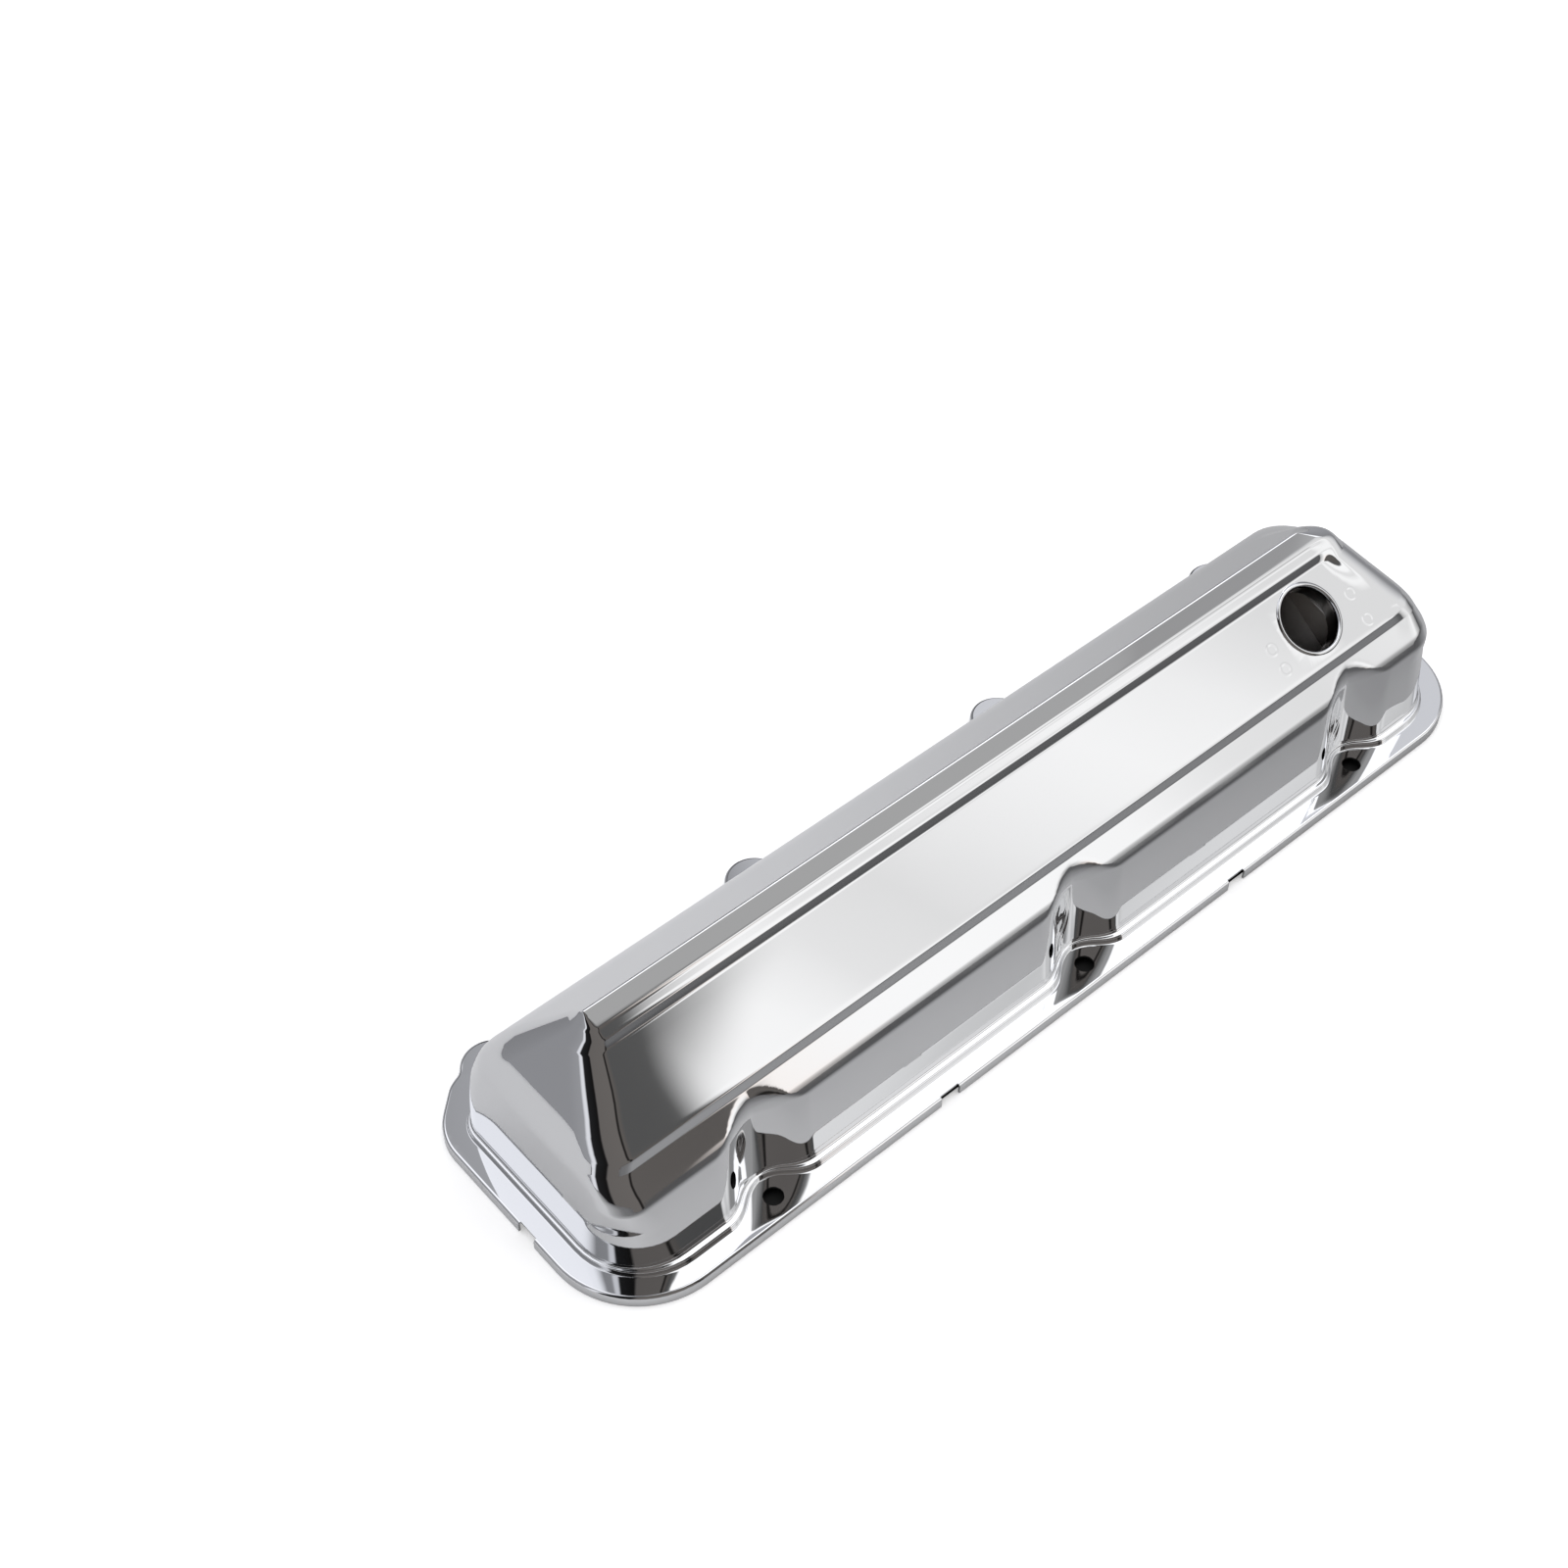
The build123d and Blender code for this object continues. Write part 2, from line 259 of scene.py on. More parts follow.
# The columns of the long sides: close together at the wells, about 9 mm apart between them
WELL_STEP, PLAIN_STEP = 1.0, 9.0
runs = []
last = -214.0
for centre in ROW:
    a, b = centre - 24.0, min(centre + 25.0, 199.0)
    if last < a - 1:
        runs.append((last, a, max(2, int((a - last) / PLAIN_STEP))))
    runs.append((a, b, int((b - a) / WELL_STEP)))
    last = b
runs.append((last, 213.0, 8))
COLUMNS = spread(runs)
# Number of columns, of steps around a corner and of points on a short side
N_COL, N_ARC, N_SIDE = len(COLUMNS), 12, 9
# The columns beyond these places move with the ends of the row
LOW_X, HIGH_X = -190.0, 186.0


def stretch(xs, lo, hi):
    """Moves the outer columns so that the row ends at lo and hi."""
    out = xs.copy()
    m = xs < LOW_X
    out[m] = LOW_X + (xs[m] - LOW_X) * (lo - LOW_X) / (xs[0] - LOW_X)
    m = xs > HIGH_X
    out[m] = HIGH_X + (xs[m] - HIGH_X) * (hi - HIGH_X) / (xs[-1] - HIGH_X)
    return out


def corner_radii(z):
    """Plan radii at a height: front left, front right, back right, back left."""
    fl = np.interp(
        z,
        [8, 30, 46, 56, 65, 76, 85, 89, 92.3, 94.5],
        [29, 23, 14, 13, 14, 13.5, 10.5, 8, 4.6, 1.5],
    )
    fr = np.interp(z, [8, 40, 50, 60, 85, 93], [27, 24, 17, 11, 11, 7])
    br = np.interp(z, [8, 46, 60, 75, 84, 94], [13, 14, 23, 28, 20, 6])
    bl = np.interp(z, [8, 46, 70, 90, 94], [13, 14, 12, 6, 1.5])
    return fl, fr, br, bl


def quarter_arc(cx, cy, r, quarter):
    """Points between the ends of a quarter circle, which starts after so many quarter turns."""
    out = []
    for j in range(1, N_ARC):
        a = math.pi / 2 * quarter + math.pi / 2 * j / N_ARC
        out.append((cx + r * math.cos(a), cy + r * math.sin(a)))
    return out


def ring(x0, x1, radii, front, back):
    """Closed row of points, anticlockwise: front, right corner, right side and so on."""
    fl, fr, br, bl = radii
    y_fl = float(front(np.array([x0 + fl]))[0])
    y_fr = float(front(np.array([x1 - fr]))[0])
    y_br = float(back(np.array([x1 - br]))[0])
    y_bl = float(back(np.array([x0 + bl]))[0])
    xs = stretch(COLUMNS, x0 + fl, x1 - fr)
    pts = list(zip(xs, front(xs)))
    pts += quarter_arc(x1 - fr, y_fr + fr, fr, -1)
    pts += [(x1, y) for y in np.linspace(y_fr + fr, y_br - br, N_SIDE)]
    pts += quarter_arc(x1 - br, y_br - br, br, 0)
    xs = stretch(COLUMNS, x0 + bl, x1 - br)[::-1]
    pts += list(zip(xs, back(xs)))
    pts += quarter_arc(x0 + bl, y_bl - bl, bl, 1)
    pts += [(x0, y) for y in np.linspace(y_bl - bl, y_fl + fl, N_SIDE)]
    pts += quarter_arc(x0 + fl, y_fl + fl, fl, 2)
    return np.array(pts)


def body_ring(z):
    """Row around the body at a height. Its corner radii shrink where the body gets narrow."""
    x0, x1 = float(x_left(z)), float(x_right(z))
    width = float(y_back(z) - y_front(z))
    radii = [min(r, max(0.02, 0.46 * width)) for r in corner_radii(z)]
    end_front = body_front(np.array([x1 - radii[1]]), z)[0]
    end_width = float(body_back(np.array([x1 - 15.0]), z)[0] - end_front)
    radii[1] = min(radii[1], max(0.02, 0.4 * end_width))
    radii[2] = min(corner_radii(z)[2], max(0.02, 0.55 * end_width))
    pts = ring(x0, x1, radii, lambda x: body_front(x, z), lambda x: body_back(x, z))
    # The ridge comes down up to 6 mm earlier on its far side at the filler end
    far = np.clip((pts[:, 1] - float(y_front(z))) / width, 0, 1)
    near_end = np.clip((pts[:, 0] - 150.0) / (x1 - 150.0), 0, 1)
    pts[:, 0] -= 6.0 * far**2 * near_end**2 * smooth(np.clip((z - 55.0) / 40.0, 0, 1))
    return pts


def row_at(flat, z):
    """Row of points at one height."""
    return np.column_stack([flat, np.full(len(flat), z)])


bead_ring = ring(-246.7, 244.7, (33.0, 33.0, 15.0, 15.0), bead_front, bead_back)
root_ring = body_ring(BEAD_TOP)

# Rows from the foot of the bead to the wall, as distance inwards and height
BEAD_WIDTH, WALL_SLOPE = 3.6, 0.13
step_line = rounded(
    [
        (-1.3, FLANGE_TOP, 0.0),
        (0.0, FLANGE_TOP, 1.0),
        (0.85, BEAD_TOP, 1.1),
        (BEAD_WIDTH, BEAD_TOP, 1.3),
        (4.25, 13.0, 0.0),
    ],
    step=18.0,
)
rows = []
for d, z in step_line[:-1]:
    if z > BEAD_TOP:
        wall = BEAD_WIDTH + (z - BEAD_TOP) * WALL_SLOPE
        flat = body_ring(z) + (bead_ring - root_ring) * (wall - d) / BEAD_WIDTH
    else:
        flat = bead_ring + (root_ring - bead_ring) * (d / BEAD_WIDTH)
    rows.append(row_at(flat, z))

# Rows of the body: the levels of all bends, and even steps between them
levels = [z for z in front_z if z > 11.0]
levels += [z for z in back_z if z > 11.0]
levels += [z for z in left_z if 11.0 < z < Z_TOP]
levels += [z for z in right_z if 85.0 < z < Z_TOP]
for start, stop, step in (
    (92.0, Z_TOP, 0.35),
    (12.0, 44.0, 2.0),
    (44.0, 59.5, 0.75),
    (63.0, 92.0, 2.4),
):
    levels += list(np.arange(start, stop, step))
levels = sorted(set(round(float(z), 3) for z in levels if z < Z_TOP - 0.02))
picked = [levels[0]]
for z in levels[1:]:
    least_step = 0.12 if z > 92.5 else 0.28
    if z - picked[-1] > least_step:
        picked.append(z)
rows += [row_at(body_ring(z), z) for z in picked]

N_RING = len(bead_ring)
verts = []
faces = []
for r in rows:
    verts.extend(map(tuple, r))

# The filler patch: between rows p0 and p1 and columns c0 and c1 the main face is left open
PATCH_Z = (64.15, 84.9)
PATCH_X = (FILLER_X - 21.0, FILLER_X + 20.5)
patch_rows = [i for i, r in enumerate(rows) if PATCH_Z[0] <= r[0, 2] <= PATCH_Z[1]]
column_x = rows[patch_rows[0]][:N_COL, 0]
patch_columns = [i for i, x in enumerate(column_x) if PATCH_X[0] <= x <= PATCH_X[1]]
p0, p1 = patch_rows[0], patch_rows[-1]
c0, c1 = patch_columns[0], patch_columns[-1]
main_slope = (MAIN_HIGH[1] - MAIN_LOW[1]) / (MAIN_HIGH[0] - MAIN_LOW[0])

for i in range(len(rows) - 1):
    for j in range(N_RING):
        if p0 <= i < p1 and c0 <= j < c1:
            continue
        k = (j + 1) % N_RING
        faces.append((i * N_RING + j, i * N_RING + k, (i + 1) * N_RING + k, (i + 1) * N_RING + j))

# Top of the ridge: a middle line between the front and the back of the last row
base = (len(rows) - 1) * N_RING
front_ids = [base + j for j in range(N_COL)]
back_start = N_COL + (N_ARC - 1) + N_SIDE + (N_ARC - 1)
back_ids = [base + back_start + j for j in range(N_COL)][::-1]
top_ids = []
for j in range(N_COL):
    x = 0.5 * (verts[front_ids[j]][0] + verts[back_ids[j]][0])
    top_ids.append(len(verts))
    verts.append((x, Y_TOP, Z_TOP))
for j in range(N_COL - 1):
    faces.append((front_ids[j], front_ids[j + 1], top_ids[j + 1], top_ids[j]))
    faces.append((top_ids[j], top_ids[j + 1], back_ids[j + 1], back_ids[j]))
right_ids = [base + j for j in range(N_COL - 1, back_start + 1)]
for a, b in zip(right_ids[:-1], right_ids[1:]):
    faces.append((a, b, top_ids[-1]))
left_ids = [base + j for j in range(back_start + N_COL - 1, N_RING)] + [base]
for a, b in zip(left_ids[:-1], left_ids[1:]):
    faces.append((a, b, top_ids[0]))


def main_z(y):
    """Height of the main face."""
    return MAIN_LOW[1] + (y - MAIN_LOW[0]) * main_slope


def weave(outer_ids, loop, to_plane, from_plane):
    """Triangles of a flat area between known vertices and a new loop.

    Returns the plane's points, the triangles, each point's vertex and the loop's vertices.
    """
    n, m = len(outer_ids), len(loop)
    pts = [Vector(to_plane(verts[i])) for i in outer_ids] + [Vector(p) for p in loop]
    edges = [(i, (i + 1) % n) for i in range(n)]
    edges += [(n + i, n + (i + 1) % m) for i in range(m)]
    points, _, triangles, origins = delaunay_2d_cdt(pts, edges, [], 0, 1e-6)[:4]
    ids = []
    loop_ids = [None] * m
    for point, sources in zip(points, origins):
        known = [outer_ids[s] for s in sources if s < n]
        if not known:
            known = [len(verts)]
            verts.append(from_plane(point))
        ids.append(known[-1])
        for s in sources:
            if s >= n:
                loop_ids[s - n] = known[-1]
    return points, triangles, ids, loop_ids


def inside(poly, p):
    """Even-odd test of a point in a closed outline."""
    x, y = p
    hit = False
    n = len(poly)
    for i in range(n):
        x0, y0 = poly[i]
        x1, y1 = poly[(i + 1) % n]
        if (y0 > y) != (y1 > y) and x < (x1 - x0) * (y - y0) / (y1 - y0) + x0:
            hit = not hit
    return hit


def circle(cx, cy, r, n):
    angles = [2 * math.pi * i / n for i in range(n)]
    return [(cx + r * math.cos(a), cy + r * math.sin(a)) for a in angles]


cos_main = 1.0 / math.hypot(1.0, main_slope)
sin_main = main_slope * cos_main
main_normal = np.array((0.0, -sin_main, cos_main))
main_up = np.array((0.0, cos_main, sin_main))
filler_centre = np.array((FILLER_X, FILLER_Y, main_z(FILLER_Y)))


def to_main(p):
    q = np.array(p) - filler_centre
    return (q[0], float(q @ main_up))


def from_main(p):
    return tuple(filler_centre + np.array((p[0], 0, 0)) + main_up * p[1])


# The patch itself, with the lip and the throat of the hole
boundary = [p0 * N_RING + j for j in range(c0, c1)]
boundary += [i * N_RING + c1 for i in range(p0, p1)]
boundary += [p1 * N_RING + j for j in range(c1, c0, -1)]
boundary += [i * N_RING + c0 for i in range(p1, p0, -1)]
N_HOLE = 72
hole = circle(0, 0, RIM[0][0], N_HOLE)
points, triangles, ids, previous = weave(boundary, hole, to_main, from_main)
outline = [to_main(verts[i]) for i in boundary]
for f in triangles:
    c = sum((points[i] for i in f), Vector((0, 0))) / len(f)
    if inside(outline, c) and not inside(hole, c):
        faces.append(tuple(ids[i] for i in f))
for r, h in RIM[1:] + [(THROAT_R, -THROAT_DEPTH)]:
    current = []
    for i in range(N_HOLE):
        a = 2 * math.pi * i / N_HOLE
        p = filler_centre + np.array((math.cos(a) * r, 0, 0)) + main_up * math.sin(a) * r
        current.append(len(verts))
        verts.append(tuple(p + main_normal * h))
    for i in range(N_HOLE):
        k = (i + 1) % N_HOLE
        faces.append((previous[i], previous[k], current[k], current[i]))
    previous = current

# Outline of the flange with its ears, as points with outward normals


def arc_points(cx, cy, r, a0, a1, step=5.0):
    n = max(2, int(math.ceil(abs(math.degrees(a1 - a0)) / step)))
    sign = 1.0 if a1 > a0 else -1.0
    out = []
    for i in range(n + 1):
        a = a0 + (a1 - a0) * i / n
        nx, ny = math.cos(a), math.sin(a)
        out.append((cx + r * nx, cy + r * ny, sign * nx, sign * ny))
    return out


def corner_arc(p, before, after, r):
    """Arc that rounds corner p of the outline."""
    p, a, b = np.array(p), np.array(before) - p, np.array(after) - p
    a, b = a / np.linalg.norm(a), b / np.linalg.norm(b)
    half = math.acos(float(a @ b)) / 2
    centre = p + (a + b) / np.linalg.norm(a + b) * r / math.sin(half)
    s, e = p + a * r / math.tan(half) - centre, p + b * r / math.tan(half) - centre
    a0, a1 = math.atan2(s[1], s[0]), math.atan2(e[1], e[0])
    if a1 < a0:
        a1 += 2 * math.pi
    return arc_points(centre[0], centre[1], r, a0, a1)


def ear_arcs(cx, cy, line_in, line_out):
    """Blend, ear and blend between the side that comes in and the side that goes on."""
    out = []
    ends = []
    for side, (p, q) in enumerate((line_in, line_out)):
        p, q = np.array(p, float), np.array(q, float)
        d = (q - p) / np.linalg.norm(q - p)
        n = np.array((d[1], -d[0]))
        base = p + n * EAR_BLEND
        rel = np.array((cx, cy)) - base
        along = rel @ d
        off = rel @ n
        reach = math.sqrt((EAR_R + EAR_BLEND) ** 2 - off**2)
        centre = base + d * (along - reach if side == 0 else along + reach)
        ends.append((centre, n))
    (c_in, n_in), (c_out, n_out) = ends
    a0 = math.atan2(-n_in[1], -n_in[0])
    touch = (np.array((cx, cy)) - c_in) / (EAR_R + EAR_BLEND)
    a1 = math.atan2(touch[1], touch[0])
    while a1 > a0:
        a1 -= 2 * math.pi
    out += arc_points(c_in[0], c_in[1], EAR_BLEND, a0, a1, 9.0)
    b0 = math.atan2(-touch[1], -touch[0])
    touch2 = (np.array((cx, cy)) - c_out) / (EAR_R + EAR_BLEND)
    b1 = math.atan2(-touch2[1], -touch2[0])
    while b1 < b0:
        b1 += 2 * math.pi
    out += arc_points(cx, cy, EAR_R, b0, b1)[1:]
    d0 = math.atan2(touch2[1], touch2[0])
    d1 = math.atan2(-n_out[1], -n_out[0])
    while d1 > d0:
        d1 -= 2 * math.pi
    out += arc_points(c_out[0], c_out[1], EAR_BLEND, d0, d1, 9.0)[1:]
    return out


def notch(x, y, nx, ny):
    """Both ends of a notch in the middle of a side, with the side's outward normal."""
    return [(x + s * ny * NOTCH_HALF, y - s * nx * NOTCH_HALF, nx, ny) for s in (1, -1)]


# Corners at the ends of the back, right and left, and the radii of all corners
SHOULDER = ((RIGHT - 18.0, 136.4), (LEFT + 18.0, 136.4))
SIDE = ((RIGHT, 119.5), (LEFT, 119.5))
BACK_END = ((OUTER_EAR_X, FLANGE_DEPTH), (-OUTER_EAR_X, FLANGE_DEPTH))
FRONT_R, SIDE_R, SHOULDER_R = 41.5, 26.0, 15.0
edge = corner_arc((LEFT, 0), (LEFT, 100), (0, 0), FRONT_R)
for c in NOTCHES["front"]:
    edge += notch(c, 0, 0, -1)
edge += corner_arc((RIGHT, 0), (0, 0), (RIGHT, 100), FRONT_R)
edge += notch(RIGHT, NOTCHES["side"], 1, 0)
edge += corner_arc(SIDE[0], (RIGHT, 0), SHOULDER[0], SIDE_R)
edge += corner_arc(SHOULDER[0], SIDE[0], BACK_END[0], SHOULDER_R)
# The back, from right to left: an ear and a notch in turn
back_line = ((200, FLANGE_DEPTH), (-200, FLANGE_DEPTH))
lines = [(SHOULDER[0], BACK_END[0]), back_line, back_line, back_line, (BACK_END[1], SHOULDER[1])]
for i, ear in enumerate(reversed(EARS)):
    if i > 0:
        edge += notch(NOTCHES["back"][-i], FLANGE_DEPTH, 0, 1)
    edge += ear_arcs(*ear, lines[i], lines[i + 1])
edge += corner_arc(SHOULDER[1], BACK_END[1], SIDE[1], SHOULDER_R)
edge += corner_arc(SIDE[1], SHOULDER[1], (LEFT, 0), SIDE_R)
edge += notch(LEFT, NOTCHES["side"], -1, 0)
edge = np.array(edge, float)
N_EDGE = len(edge)
notched = set()
for i in range(N_EDGE):
    a, b = edge[i], edge[(i + 1) % N_EDGE]
    if np.allclose(a[2:], b[2:]) and abs(np.hypot(*(a[:2] - b[:2])) - 2 * NOTCH_HALF) < 0.01:
        notched.add(i)

# The lip, as distance inwards and height, open at the notches
LIP_R, LIP_STEPS = 1.5, 6
lip_line = [(0.0, 0.0), (0.0, 2.2), (0.0, FLANGE_TOP - LIP_R)]
for k in range(1, LIP_STEPS + 1):
    a = math.pi / 2 * k / LIP_STEPS
    lip_line.append((LIP_R * (1 - math.cos(a)), FLANGE_TOP - LIP_R * (1 - math.sin(a))))
lip_rows = []
for d, z in lip_line:
    start = len(verts)
    for x, y, nx, ny in edge:
        verts.append((x - nx * d, y - ny * d, z))
    lip_rows.append(list(range(start, start + N_EDGE)))
for lower, upper in zip(lip_rows[:-1], lip_rows[1:]):
    for i in range(N_EDGE):
        if i in notched:
            continue
        k = (i + 1) % N_EDGE
        faces.append((lower[i], lower[k], upper[k], upper[i]))

# Flat of the flange between the lip, the foot of the bead and the bolt holes
N_BOLT = 40
hole_centres = [(x, ROW_Y) for x in ROW] + EARS
foot = list(range(N_RING))
foot_line = [verts[i][:2] for i in foot]
rim = lip_rows[-1]
rim_line = [verts[i][:2] for i in rim]


def flat_area():
    """Adds the flat's triangles, from the vertices of the lip and the bead."""
    n, m = len(rim_line), len(foot_line)
    pts = [Vector(p) for p in rim_line + foot_line]
    edges = [(i, (i + 1) % n) for i in range(n)]
    edges += [(n + i, n + (i + 1) % m) for i in range(m)]
    for x, y in hole_centres:
        s = len(pts)
        pts += [Vector(p) for p in circle(x, y, HOLE_R, N_BOLT)]
        edges += [(s + i, s + (i + 1) % N_BOLT) for i in range(N_BOLT)]
    points, _, triangles, origins = delaunay_2d_cdt(pts, edges, [], 0, 1e-6)[:4]
    known_ids = rim + foot
    ids = []
    for point, sources in zip(points, origins):
        known = [known_ids[s] for s in sources if s < n + m]
        if not known:
            known = [len(verts)]
            verts.append((point.x, point.y, FLANGE_TOP))
        ids.append(known[-1])
    for f in triangles:
        c = sum((points[i] for i in f), Vector((0, 0))) / len(f)
        if not inside(rim_line, c) or inside(foot_line, c):
            continue
        if any(math.hypot(c.x - x, c.y - y) < HOLE_R * 0.98 for x, y in hole_centres):
            continue
        faces.append(tuple(ids[i] for i in f))


flat_area()

# Sheet thickness: the outside is copied one millimetre inwards along its normals
V = np.array(verts, float)
V[:, 1] += FRONT


def face_normals(points, polys):
    """Normal of each face, as long as its area."""
    out = np.zeros((len(polys), 3))
    for i, f in enumerate(polys):
        p = points[list(f)]
        n = np.zeros(3)
        for a in range(1, len(f) - 1):
            n += np.cross(p[a] - p[0], p[a + 1] - p[0])
        out[i] = n / 2
    return out


areas = face_normals(V, faces)
faces = [f for f, a in zip(faces, areas) if np.linalg.norm(a) > 1e-7]
areas = face_normals(V, faces)
N = np.zeros_like(V)
for f, a in zip(faces, areas):
    for i in f:
        N[i] += a
length = np.linalg.norm(N, axis=1)
length[length == 0] = 1
N /= length[:, None]
# Thickness is kept over bends: each vertex moves so that its faces move by one sheet
gain = np.zeros(len(V))
count = np.zeros(len(V))
for f, a in zip(faces, areas):
    u = a / np.linalg.norm(a)
    for i in f:
        gain[i] += u @ N[i]
        count[i] += 1
count[count == 0] = 1
gain = np.clip(gain / count, 0.7, 1.0)
inner = V - N * (SHEET / gain)[:, None]
lowest = V[:, 2] < 0.01
inner[lowest, 2] = 0.0
all_points = np.vstack([V, inner]) / 1000.0
off = len(V)
edge_count = {}
for f in faces:
    for a, b in zip(f, f[1:] + f[:1]):
        edge_count[(a, b)] = edge_count.get((a, b), 0) + 1
open_edges = [(a, b) for (a, b) in edge_count if (b, a) not in edge_count]
shell_faces = list(faces)
inner_faces = [tuple(i + off for i in reversed(f)) for f in faces]
rim_faces = [(b, a, a + off, b + off) for a, b in open_edges]
polys = shell_faces + inner_faces + rim_faces
used = sorted({i for f in polys for i in f})
remap = {old: new for new, old in enumerate(used)}
mesh = bpy.data.meshes.new("cover_pressing")
used_points = [tuple(all_points[i]) for i in used]
mesh.from_pydata(used_points, [], [tuple(remap[i] for i in f) for f in polys])
mesh.update()
loop_normals = []
for f in shell_faces:
    loop_normals += [tuple(N[i]) for i in f]
for f in inner_faces:
    loop_normals += [tuple(-N[i - off]) for i in f]
for f in rim_faces:
    p = all_points[list(f)]
    n = np.cross(p[1] - p[0], p[2] - p[0])
    n = n / (np.linalg.norm(n) or 1)
    loop_normals += [tuple(n)] * 4
mesh.polygons.foreach_set("use_smooth", [True] * len(mesh.polygons))
mesh.normals_split_custom_set(loop_normals)
index = [0] * len(shell_faces) + [1] * len(inner_faces) + [0] * len(rim_faces)
mesh.polygons.foreach_set("material_index", index)
cover = bpy.data.objects.new("cover_pressing", mesh)
bpy.context.scene.collection.objects.link(cover)

# Materials


def nodes_of(name, **values):
    """New material with values on its shader; returns it, its tree and the shader node."""
    m = bpy.data.materials.new(name)
    m.use_nodes = True
    shader = m.node_tree.nodes["Principled BSDF"]
    for key, value in values.items():
        shader.inputs[key.replace("_", " ")].default_value = value
    return m, m.node_tree, shader


def add(t, kind, **values):
    """New node. Values that start with i_ are for its inputs, the others are its settings."""
    n = t.nodes.new(kind)
    for key, value in values.items():
        if key.startswith("i_"):
            n.inputs[key[2:].replace("_", " ")].default_value = value
        else:
            setattr(n, key, value)
    return n


def math_node(t, kind, *values):
    """Result of a math node on numbers and outputs."""
    node = add(t, "ShaderNodeMath", operation=kind)
    for socket, value in zip(node.inputs, values):
        if isinstance(value, float):
            socket.default_value = value
        else:
            t.links.new(value, socket)
    return node.outputs["Value"]


def product(t, result, *factors):
    for factor in factors:
        result = math_node(t, "MULTIPLY", result, factor)
    return result


def map_range(t, source, **values):
    n = add(t, "ShaderNodeMapRange", **values)
    t.links.new(source, n.inputs["Value"])
    return n.outputs["Result"]


def smooth_range(t, source, low, high, **values):
    """Map range with a smooth step from low to high."""
    values.update(interpolation_type="SMOOTHSTEP", i_From_Min=low, i_From_Max=high)
    return map_range(t, source, **values)


def noise(t, scale, detail):
    """Noise in the piece's own coordinates."""
    n = add(t, "ShaderNodeTexNoise", i_Scale=scale, i_Detail=detail)
    t.links.new(add(t, "ShaderNodeTexCoord").outputs["Object"], n.inputs["Vector"])
    return n.outputs["Fac"]


def relief(t, height, strength, distance):
    """Bump node for a height."""
    n = add(t, "ShaderNodeBump", i_Strength=strength, i_Distance=distance)
    t.links.new(height, n.inputs["Height"])
    return n


chrome, t, shader = nodes_of("mirror_chrome", Metallic=1.0, Base_Color=(0.72, 0.725, 0.735, 1))
haze = map_range(t, noise(t, 35.0, 5.0), i_To_Min=0.012, i_To_Max=0.05)
t.links.new(haze, shader.inputs["Roughness"])
waves = relief(t, noise(t, 14.0, 1.0), 0.05, 0.002)
# Four round spot-weld marks beside the filler, as thin rings
MARKS = ((144.2, -30.4, 74.2), (144.7, -39.1, 68.4), (197.5, -29.8, 74.6), (198.0, -41.3, 66.9))
MARK_R, MARK_HALF_WIDTH = 0.0026, 0.0009
coords = add(t, "ShaderNodeTexCoord")
marks = 0.0
for middle in MARKS:
    gap = add(t, "ShaderNodeVectorMath", operation="DISTANCE")
    t.links.new(coords.outputs["Object"], gap.inputs[0])
    gap.inputs[1].default_value = [v / 1000 for v in middle]
    off_ring = math_node(t, "ABSOLUTE", math_node(t, "SUBTRACT", gap.outputs["Value"], MARK_R))
    marks = math_node(t, "ADD", marks, smooth_range(t, off_ring, MARK_HALF_WIDTH, 0.0))
press = relief(t, marks, 0.5, 0.00012)
t.links.new(waves.outputs["Normal"], press.inputs["Normal"])
t.links.new(press.outputs["Normal"], shader.inputs["Normal"])

satin, t, shader = nodes_of("inside_plating", Metallic=1.0, Base_Color=(0.42, 0.405, 0.39, 1))
grain = noise(t, 120.0, 6.0)
t.links.new(map_range(t, grain, i_To_Min=0.26, i_To_Max=0.42), shader.inputs["Roughness"])
t.links.new(relief(t, grain, 0.08, 0.0004).outputs["Normal"], shader.inputs["Normal"])

steel, t, shader = nodes_of("baffle_steel", Metallic=1.0, Roughness=0.3)
tint = add(t, "ShaderNodeValToRGB")
tint.color_ramp.elements[0].color = (0.40, 0.385, 0.37, 1)
tint.color_ramp.elements[1].color = (0.56, 0.55, 0.54, 1)
t.links.new(noise(t, 60.0, 5.0), tint.inputs["Fac"])
t.links.new(tint.outputs["Color"], shader.inputs["Base Color"])

mesh.materials.append(chrome)
mesh.materials.append(satin)
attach(cover, "root")
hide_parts("cover_shell")
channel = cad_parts["cross_channel"]
for slot in channel.material_slots:
    slot.material = steel

# The baffle again, with the corner pulled in that would come through the rounder hip of the roof.
# A vertex moves in small steps until it lies inside the roof with some room around it.
STEP_IN, ROOM_X, ROOM_Y = 0.02, 0.02, 0.06
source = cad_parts["oil_baffle"]
baffle_mesh = source.data.copy()
baffle_mesh.name = "baffle_sheet"
baffle_mesh.transform(source.matrix_world)
for v in baffle_mesh.vertices:
    x, y, z = v.co.x * 1000, v.co.y * 1000 - FRONT, v.co.z * 1000
    if z < 45.0:
        continue
    loop = body_ring(min(z + 1.2, Z_TOP - 0.3))
    goal_x, goal_y = min(max(x, -150.0), 165.0), 0.5 * (loop[:, 1].min() + loop[:, 1].max())
    loop = [tuple(q) for q in loop]
    for _ in range(60):
        further = (x + ROOM_X * (x - goal_x), y + ROOM_Y * (y - goal_y))
        if inside(loop, (x, y)) and inside(loop, further):
            break
        x, y = x + STEP_IN * (goal_x - x), y + STEP_IN * (goal_y - y)
    v.co.x, v.co.y = x / 1000, (y + FRONT) / 1000
baffle_mesh.materials.clear()
baffle_mesh.materials.append(steel)
baffle = bpy.data.objects.new("baffle_sheet", baffle_mesh)
